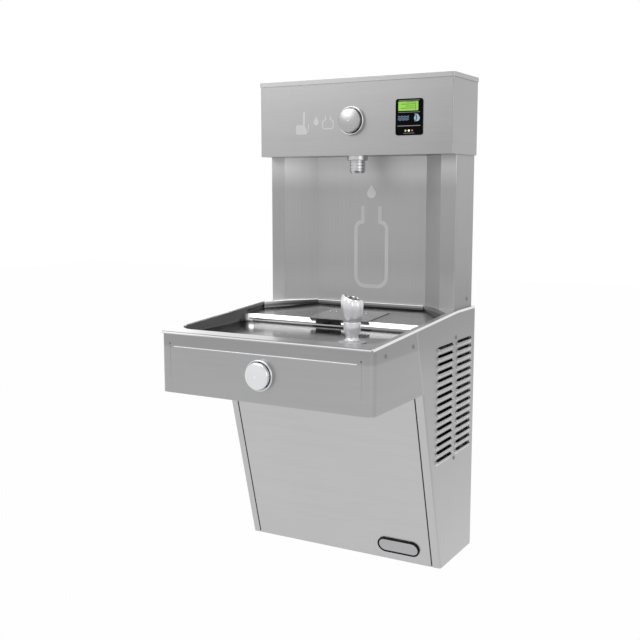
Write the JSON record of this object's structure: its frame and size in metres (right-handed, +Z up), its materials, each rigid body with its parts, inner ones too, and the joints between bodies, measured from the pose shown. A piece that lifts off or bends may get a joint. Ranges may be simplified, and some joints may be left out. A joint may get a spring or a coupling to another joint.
{
  "type": "bottle filling station",
  "caption": "Wall-hung stainless bottle filler over a drinking basin with a bubbler, push buttons, a display and a louvred chiller cabinet.",
  "frame": {"origin": "on the wall plane, at the middle of the cabinet's bottom edge", "axes": "+X to the viewer's right, +Y into the wall, +Z up; the unit extends towards -Y"},
  "size_m": [0.466, 0.5056, 1.0002],
  "materials": {
    "zinc_plated": "zinc-plated pressed steel",
    "side_steel": "brushed stainless, grain vertical",
    "panel_steel": "brushed stainless, grain across",
    "basin_steel": "bright satin stainless, drawn",
    "apron_steel": "brushed stainless, grain across",
    "tower_steel": "brushed stainless, grain vertical",
    "head_steel": "brushed stainless, grain across",
    "cover_steel": "brushed stainless",
    "drain_steel": "satin stainless plate",
    "bright_steel": "bright stainless",
    "badge_black": "moulded black rim",
    "badge_steel": "satin metal plate",
    "chrome": "polished chrome plate",
    "button_chrome": "polished chrome plate",
    "satin_ring": "satin chrome ring",
    "button_satin": "satin chrome",
    "nozzle_satin": "satin nickel",
    "brass": "turned brass",
    "copper": "drawn copper tube",
    "white_plastic": "moulded white plastic",
    "black_plastic": "moulded black plastic",
    "water_tube": "food-grade plastic tube",
    "display_black": "dark overlay on a moulded housing",
    "display_screen": "green liquid-crystal screen",
    "status_lens": "coloured lens",
    "circuit_board": "coated circuit board",
    "compressor_black": "black enamel",
    "motor_black": "black enamel",
    "rubber": "moulded rubber",
    "fin_aluminium": "bare fins on copper tube",
    "tank_foam": "closed-cell foam jacket",
    "filter_white": "moulded white cartridge"
  },
  "bodies": {
    "station": {"rear_frame": "zinc_plated", "hanger_bracket": "zinc_plated", "bottom_pan": "zinc_plated", "component_shelf": "zinc_plated", "side_panel_left": "side_steel", "side_panel_right": "side_steel", "access_panel": "panel_steel", "badge_rim": "badge_black", "badge_face": "badge_steel", "casing_screws": "bright_steel", "basin": "basin_steel", "basin_arms": "zinc_plated", "apron": "apron_steel", "apron_pan": "apron_steel", "drain_plate": "drain_steel", "drain_box": "white_plastic", "waste_tube": "chrome", "bubbler": "chrome", "bubbler_nut": "brass", "bubbler_tube": "copper", "bubbler_bezel": "chrome", "bubbler_button_nut": "brass", "bubbler_button_spring": "bright_steel", "bubbler_valve": "white_plastic", "tower_frame": "zinc_plated", "tower_shell": "tower_steel", "filler_head": "head_steel", "head_cover": "cover_steel", "filler_bezel": "satin_ring", "filler_button_nut": "brass", "filler_button_spring": "bright_steel", "filler_switch": "black_plastic", "filler_nozzle": "nozzle_satin", "nozzle_nut": "brass", "flow_insert": "black_plastic", "filler_solenoid": "white_plastic", "filler_tubes": "water_tube", "display_bezel": "display_black", "display_window": "display_screen", "status_lenses": "status_lens", "display_board": "circuit_board", "compressor": "compressor_black", "compressor_grommets": "rubber", "condenser": "fin_aluminium", "fan_shroud": "zinc_plated", "fan_motor": "motor_black", "cooling_tank": "tank_foam", "filter_head": "white_plastic", "power_box": "black_plastic", "inlet_tube": "copper", "cooling_lines": "copper"},
    "bubbler_push": {"bubbler_button": "button_chrome", "bubbler_button_clip": "bright_steel", "bubbler_plunger": "brass"},
    "filler_push": {"filler_button": "button_satin", "filler_button_clip": "bright_steel", "switch_plunger": "brass"},
    "fan": {"fan_blade": "black_plastic"},
    "filter": {"filter_cartridge": "filter_white"}
  },
  "joints": [
    {"name": "bubbler_button_slide", "type": "slide", "parent": "station", "child": "bubbler_push", "axis": [0, 1, 0], "range_m": [0, 0.004], "stiffness_N_per_m": 800, "springref_m": -0.006, "deforming": ["bubbler_button_spring"]},
    {"name": "filler_button_slide", "type": "slide", "parent": "station", "child": "filler_push", "axis": [0, 1, 0], "range_m": [0, 0.004], "stiffness_N_per_m": 800, "springref_m": -0.006, "deforming": ["filler_button_spring"]},
    {"name": "fan_spin", "type": "hinge", "parent": "station", "child": "fan", "pos_m": [0.1858, -0.115, 0.329], "axis": [1, 0, 0], "continuous": true},
    {"name": "filter_turn", "type": "hinge", "parent": "station", "child": "filter", "pos_m": [0.062, -0.1, 0.4], "axis": [0, 0, 1], "range_deg": [0, 90]}
  ]
}
